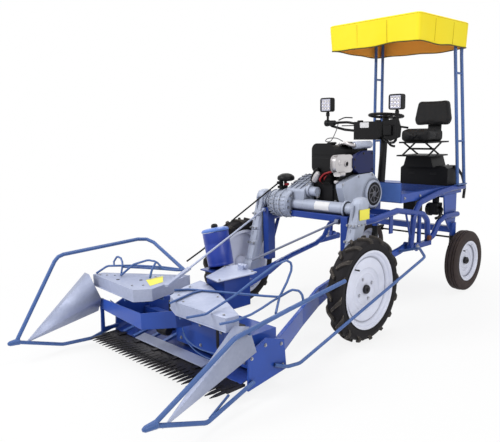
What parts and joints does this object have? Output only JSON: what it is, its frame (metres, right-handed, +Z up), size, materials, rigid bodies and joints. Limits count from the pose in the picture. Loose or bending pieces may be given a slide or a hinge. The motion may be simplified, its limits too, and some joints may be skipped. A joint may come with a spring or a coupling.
{
  "type": "reaper binder",
  "caption": "Small blue ride-on reaper binder with cutter bar, crop dividers, star wheels, knotter, seat under a yellow canopy and rear-wheel steering",
  "frame": {"origin": "centre of the bounding box's base, on the ground", "axes": "+Y points to the machine's rear along its length, +Z up, +X to the machine's left"},
  "size_m": [1.4916, 3.5757, 2.1709],
  "materials": {
    "blue_paint": "satin blue paint",
    "dark_blue_paint": "satin dark blue paint",
    "steel_blue_paint": "worn steel-blue paint on tubes",
    "can_blue": "bright blue paint",
    "galvanised_sheet": "galvanised sheet",
    "grey_casting": "grey-painted casting",
    "rim_grey": "pale grey paint",
    "black_paint": "satin black paint",
    "cutter_steel": "dark worn steel",
    "silver_metal": "bare bright metal",
    "seat_vinyl": "black vinyl",
    "tyre_rubber": "black rubber",
    "rear_tyre_rubber": "dusty rubber",
    "canopy_cloth": "yellow coated cloth",
    "lamp_lens": "clear lamp lens"
  },
  "bodies": {
    "chassis": {"side_frame_left": "dark_blue_paint", "side_frame_right": "dark_blue_paint", "front_cross_member": "dark_blue_paint", "engine_bed": "dark_blue_paint", "axle_left": "grey_casting", "axle_right": "grey_casting", "transmission_case": "grey_casting", "shift_lever": "black_paint", "engine_block": "black_paint", "flywheel_housing": "grey_casting", "fuel_tank": "black_paint", "muffler": "silver_metal", "engine_cowl": "dark_blue_paint", "deck": "blue_paint", "seat_base": "black_paint", "seat_cushion": "seat_vinyl", "seat_backrest": "seat_vinyl", "canopy_frame": "steel_blue_paint", "canopy": "canopy_cloth", "steering_console": "black_paint", "lamp_left": "black_paint", "lamp_right": "black_paint", "lamp_lens_left": "lamp_lens", "lamp_lens_right": "lamp_lens", "rear_axle_beam": "blue_paint", "steering_box": "black_paint"},
    "front_wheel_left": {"front_tyre_left": "tyre_rubber", "front_rim_left": "rim_grey"},
    "front_wheel_right": {"front_tyre_right": "tyre_rubber", "front_rim_right": "rim_grey"},
    "knuckle_left": {"steering_knuckle_left": "black_paint"},
    "knuckle_right": {"steering_knuckle_right": "black_paint"},
    "rear_wheel_left": {"rear_tyre_left": "rear_tyre_rubber", "rear_rim_left": "rim_grey"},
    "rear_wheel_right": {"rear_tyre_right": "rear_tyre_rubber", "rear_rim_right": "rim_grey"},
    "tie_rod": {"tie_rod": "black_paint"},
    "steering_wheel": {"steering_wheel": "black_paint"},
    "header": {"header_frame": "blue_paint", "deck_plate": "dark_blue_paint", "cutter_bar": "cutter_steel", "cover_left": "galvanised_sheet", "cover_right": "galvanised_sheet", "crop_guard_left": "steel_blue_paint", "crop_guard_right": "steel_blue_paint", "divider_cone_left": "galvanised_sheet", "divider_cone_right": "galvanised_sheet", "wheel_guard_bar": "steel_blue_paint", "knotter": "dark_blue_paint", "knotter_table": "galvanised_sheet", "twine_can": "can_blue"},
    "knife": {"knife": "silver_metal"},
    "star_wheel_left": {"star_wheel_left": "steel_blue_paint"},
    "star_wheel_right": {"star_wheel_right": "steel_blue_paint"},
    "trip_rod": {"trip_rod": "silver_metal"},
    "lift_rod": {"lift_rod": "galvanised_sheet"},
    "clutch_rod": {"clutch_rod": "black_paint"}
  },
  "joints": [
    {"name": "front_wheel_spin_left", "type": "hinge", "parent": "chassis", "child": "front_wheel_left", "pos_m": [0.58, -0.0195, 0.345], "axis": [1, 0, 0], "continuous": true},
    {"name": "rear_steer_left", "type": "hinge", "parent": "chassis", "child": "knuckle_left", "pos_m": [0.385, 1.5365, 0.5], "axis": [0, 0, 1], "range_deg": [-35, 35]},
    {"name": "rear_wheel_spin_left", "type": "hinge", "parent": "knuckle_left", "child": "rear_wheel_left", "pos_m": [0.49, 1.5365, 0.251], "axis": [1, 0, 0], "continuous": true},
    {"name": "front_wheel_spin_right", "type": "hinge", "parent": "chassis", "child": "front_wheel_right", "pos_m": [-0.58, -0.0195, 0.345], "axis": [1, 0, 0], "continuous": true},
    {"name": "rear_steer_right", "type": "hinge", "parent": "chassis", "child": "knuckle_right", "pos_m": [-0.385, 1.5365, 0.5], "axis": [0, 0, 1], "range_deg": [-35, 35]},
    {"name": "rear_wheel_spin_right", "type": "hinge", "parent": "knuckle_right", "child": "rear_wheel_right", "pos_m": [-0.49, 1.5365, 0.251], "axis": [1, 0, 0], "continuous": true},
    {"name": "tie_rod_slide", "type": "slide", "parent": "chassis", "child": "tie_rod", "axis": [1, 0, 0], "range_m": [-0.075, 0.075]},
    {"name": "steering_wheel_turn", "type": "hinge", "parent": "chassis", "child": "steering_wheel", "pos_m": [0.12, 0.90758, 1.4289], "axis": [0, 0.1047, 0.9945], "range_deg": [-425, 425]},
    {"name": "header_lift", "type": "hinge", "parent": "chassis", "child": "header", "pos_m": [0, 0.8915, 0.455], "axis": [-1, 0, 0], "range_deg": [0, 7]},
    {"name": "knife_stroke", "type": "slide", "parent": "header", "child": "knife", "axis": [1, 0, 0], "range_m": [-0.019, 0.019]},
    {"name": "star_spin_left", "type": "hinge", "parent": "header", "child": "star_wheel_left", "pos_m": [0.22, -1.0495, 0.357], "axis": [0, 0, 1], "continuous": true},
    {"name": "star_spin_right", "type": "hinge", "parent": "header", "child": "star_wheel_right", "pos_m": [-0.3, -1.0695, 0.357], "axis": [0, 0, 1], "continuous": true},
    {"name": "trip_rod_swing", "type": "hinge", "parent": "chassis", "child": "trip_rod", "pos_m": [0.3, 0.0672, 0.738], "axis": [-1, 0, 0], "range_deg": [0, 16.4]},
    {"name": "lift_rod_swing", "type": "hinge", "parent": "chassis", "child": "lift_rod", "pos_m": [-0.37, 0.0432, 0.765], "axis": [-1, 0, 0], "range_deg": [0, 12]},
    {"name": "clutch_rod_swing", "type": "hinge", "parent": "chassis", "child": "clutch_rod", "pos_m": [-0.255, 0.0862, 0.97], "axis": [-1, 0, 0], "range_deg": [0, 11.2]}
  ],
  "couplings": [
    {"joint": "rear_steer_right", "follows": "rear_steer_left", "ratio": 1},
    {"joint": "tie_rod_slide", "follows": "rear_steer_left", "m_per_rad": -0.12},
    {"joint": "steering_wheel_turn", "follows": "rear_steer_left", "ratio": -12},
    {"joint": "trip_rod_swing", "follows": "header_lift", "ratio": 2.29},
    {"joint": "lift_rod_swing", "follows": "header_lift", "ratio": 1.67},
    {"joint": "clutch_rod_swing", "follows": "header_lift", "ratio": 1.57}
  ]
}
